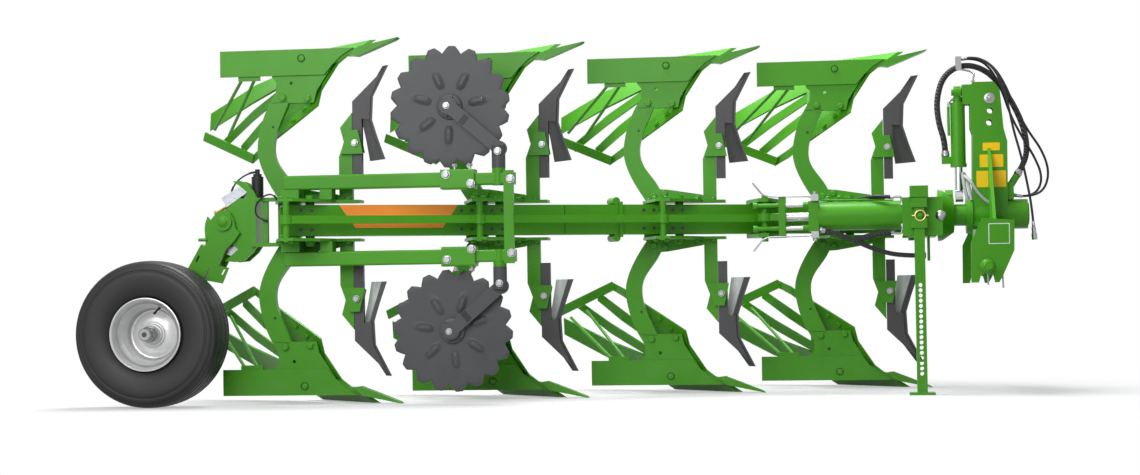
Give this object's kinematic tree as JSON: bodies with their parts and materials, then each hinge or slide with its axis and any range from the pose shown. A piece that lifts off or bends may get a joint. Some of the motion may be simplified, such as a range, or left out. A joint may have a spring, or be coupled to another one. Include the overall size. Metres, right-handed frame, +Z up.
{
  "type": "reversible moldboard plough",
  "caption": "Mounted reversible moldboard plough with slatted moldboards, skimmers, notched disc coulters, a depth wheel and hydraulically variable furrow width.",
  "frame": {"origin": "middle of the plough's outline on the ground", "axes": "+X forward along the travel, +Y to the driver's left, +Z up"},
  "size_m": [4.7022, 2.062, 1.784],
  "materials": {
    "green_paint": "gloss enamel",
    "dark_paint": "satin dark grey",
    "grey_paint": "satin grey",
    "silver_paint": "silver paint",
    "chrome": "polished hard chrome",
    "bare_steel": "zinc plated",
    "tyre": "black rubber",
    "hose": "black hydraulic hose"
  },
  "bodies": {
    "headstock": {"headstock": "green_paint", "cross_shaft": "bare_steel", "reversing_cylinder_barrel": "green_paint", "reversing_cylinder_rod": "chrome", "hose_holder": "bare_steel", "sleeved_hose": "hose", "tractor_hose_a": "hose", "tractor_hose_b": "hose", "tractor_hose_c": "hose", "loose_coupling": "bare_steel"},
    "turning_frame": {"turning_frame": "green_paint", "turning_shaft": "green_paint"},
    "beam": {"beam": "green_paint"},
    "tie_rod": {"tie_rod": "green_paint"},
    "width_barrel": {"width_cylinder_barrel": "green_paint", "valve_levers": "bare_steel", "cylinder_hose": "hose"},
    "width_rod": {"width_cylinder_rod": "chrome"},
    "stand": {"stand_leg": "green_paint"},
    "wheel_arm": {"wheel_arm": "green_paint"},
    "wheel": {"wheel_tyre": "tyre", "wheel_rim": "silver_paint"},
    "coulter_swivel_upper": {"coulter_arm_upper": "dark_paint"},
    "coulter_swivel_lower": {"coulter_arm_lower": "dark_paint"},
    "coulter_disc_upper": {"coulter_disc_upper": "dark_paint"},
    "coulter_disc_lower": {"coulter_disc_lower": "dark_paint"},
    "console_0": {"console_0": "green_paint", "legs_0": "green_paint", "landsides_0": "green_paint", "shares_0": "green_paint", "moldboards_0": "green_paint", "skimmers_0": "grey_paint", "wheel_bracket": "green_paint", "coulter_bars": "green_paint", "wheel_stops": "bare_steel", "connector_can": "hose", "wheel_cable_a": "hose", "wheel_cable_b": "hose"},
    "console_1": {"console_1": "green_paint", "legs_1": "green_paint", "landsides_1": "green_paint", "shares_1": "green_paint", "moldboards_1": "green_paint", "skimmers_1": "grey_paint"},
    "console_2": {"console_2": "green_paint", "legs_2": "green_paint", "landsides_2": "green_paint", "shares_2": "green_paint", "moldboards_2": "green_paint", "skimmers_2": "grey_paint"},
    "console_3": {"console_3": "green_paint", "legs_3": "green_paint", "landsides_3": "green_paint", "shares_3": "green_paint", "moldboards_3": "green_paint", "skimmers_3": "grey_paint"}
  },
  "joints": [
    {"name": "turnover", "type": "hinge", "parent": "headstock", "child": "turning_frame", "pos_m": [1.935, 0.151, 0.892], "axis": [-1, 0, 0], "range_deg": [0, 180]},
    {"name": "beam_swing", "type": "hinge", "parent": "turning_frame", "child": "beam", "pos_m": [1.735, 0.55652, 0.892], "axis": [0, 0, 1], "range_deg": [-5.22, 8.29]},
    {"name": "tie_rod_turn", "type": "hinge", "parent": "console_0", "child": "tie_rod", "pos_m": [-1.251, -0.98497, 0.892], "axis": [0, 0, 1], "range_deg": [-5.32, 8.39]},
    {"name": "width_barrel_turn", "type": "hinge", "parent": "turning_frame", "child": "width_barrel", "pos_m": [1.709, -0.044, 0.892], "axis": [0, 0, 1], "range_deg": [-5.59, 8.82]},
    {"name": "width_rod_slide", "type": "slide", "parent": "width_barrel", "child": "width_rod", "axis": [-0.9999, 0.015, 0], "range_m": [-0.0875, 0.0555]},
    {"name": "stand_slide", "type": "slide", "parent": "turning_frame", "child": "stand", "axis": [0, 0, 1], "range_m": [0, 0.77]},
    {"name": "wheel_arm_swing", "type": "hinge", "parent": "console_0", "child": "wheel_arm", "pos_m": [-1.632, -0.699, 0.897], "axis": [0, 1, 0], "range_deg": [0, 121]},
    {"name": "wheel_spin", "type": "hinge", "parent": "wheel_arm", "child": "wheel", "pos_m": [-1.945, -0.899, 0.355], "axis": [0, 1, 0], "continuous": true},
    {"name": "console_0_turn", "type": "hinge", "parent": "beam", "child": "console_0", "pos_m": [-1.185, -0.79897, 0.892], "axis": [0, 0, 1], "range_deg": [-8.39, 5.32]},
    {"name": "console_1_turn", "type": "hinge", "parent": "beam", "child": "console_1", "pos_m": [-0.32332, -0.39897, 0.892], "axis": [0, 0, 1], "range_deg": [-8.39, 5.32]},
    {"name": "console_2_turn", "type": "hinge", "parent": "beam", "child": "console_2", "pos_m": [0.53837, 0.00103, 0.892], "axis": [0, 0, 1], "range_deg": [-8.39, 5.32]},
    {"name": "console_3_turn", "type": "hinge", "parent": "beam", "child": "console_3", "pos_m": [1.40005, 0.40103, 0.892], "axis": [0, 0, 1], "range_deg": [-8.39, 5.32]},
    {"name": "coulter_swivel_upper_turn", "type": "hinge", "parent": "console_0", "child": "coulter_swivel_upper", "pos_m": [-0.26, -0.774, 1.128], "axis": [0, 0, 1], "range_deg": [-12, 12]},
    {"name": "coulter_disc_upper_spin", "type": "hinge", "parent": "coulter_swivel_upper", "child": "coulter_disc_upper", "pos_m": [-0.503, -0.731, 1.433], "axis": [0, 1, 0], "continuous": true},
    {"name": "coulter_swivel_lower_turn", "type": "hinge", "parent": "console_0", "child": "coulter_swivel_lower", "pos_m": [-0.26, -0.774, 0.656], "axis": [0, 0, 1], "range_deg": [-12, 12]},
    {"name": "coulter_disc_lower_spin", "type": "hinge", "parent": "coulter_swivel_lower", "child": "coulter_disc_lower", "pos_m": [-0.503, -0.731, 0.351], "axis": [0, 1, 0], "continuous": true}
  ],
  "couplings": [
    {"joint": "console_0_turn", "follows": "beam_swing", "ratio": -1},
    {"joint": "console_1_turn", "follows": "beam_swing", "ratio": -1},
    {"joint": "console_2_turn", "follows": "beam_swing", "ratio": -1},
    {"joint": "console_3_turn", "follows": "beam_swing", "ratio": -1},
    {"joint": "tie_rod_turn", "follows": "beam_swing", "ratio": 1},
    {"joint": "width_barrel_turn", "follows": "beam_swing", "ratio": 1.052},
    {"joint": "width_rod_slide", "follows": "beam_swing", "m_per_rad": -0.5985}
  ]
}
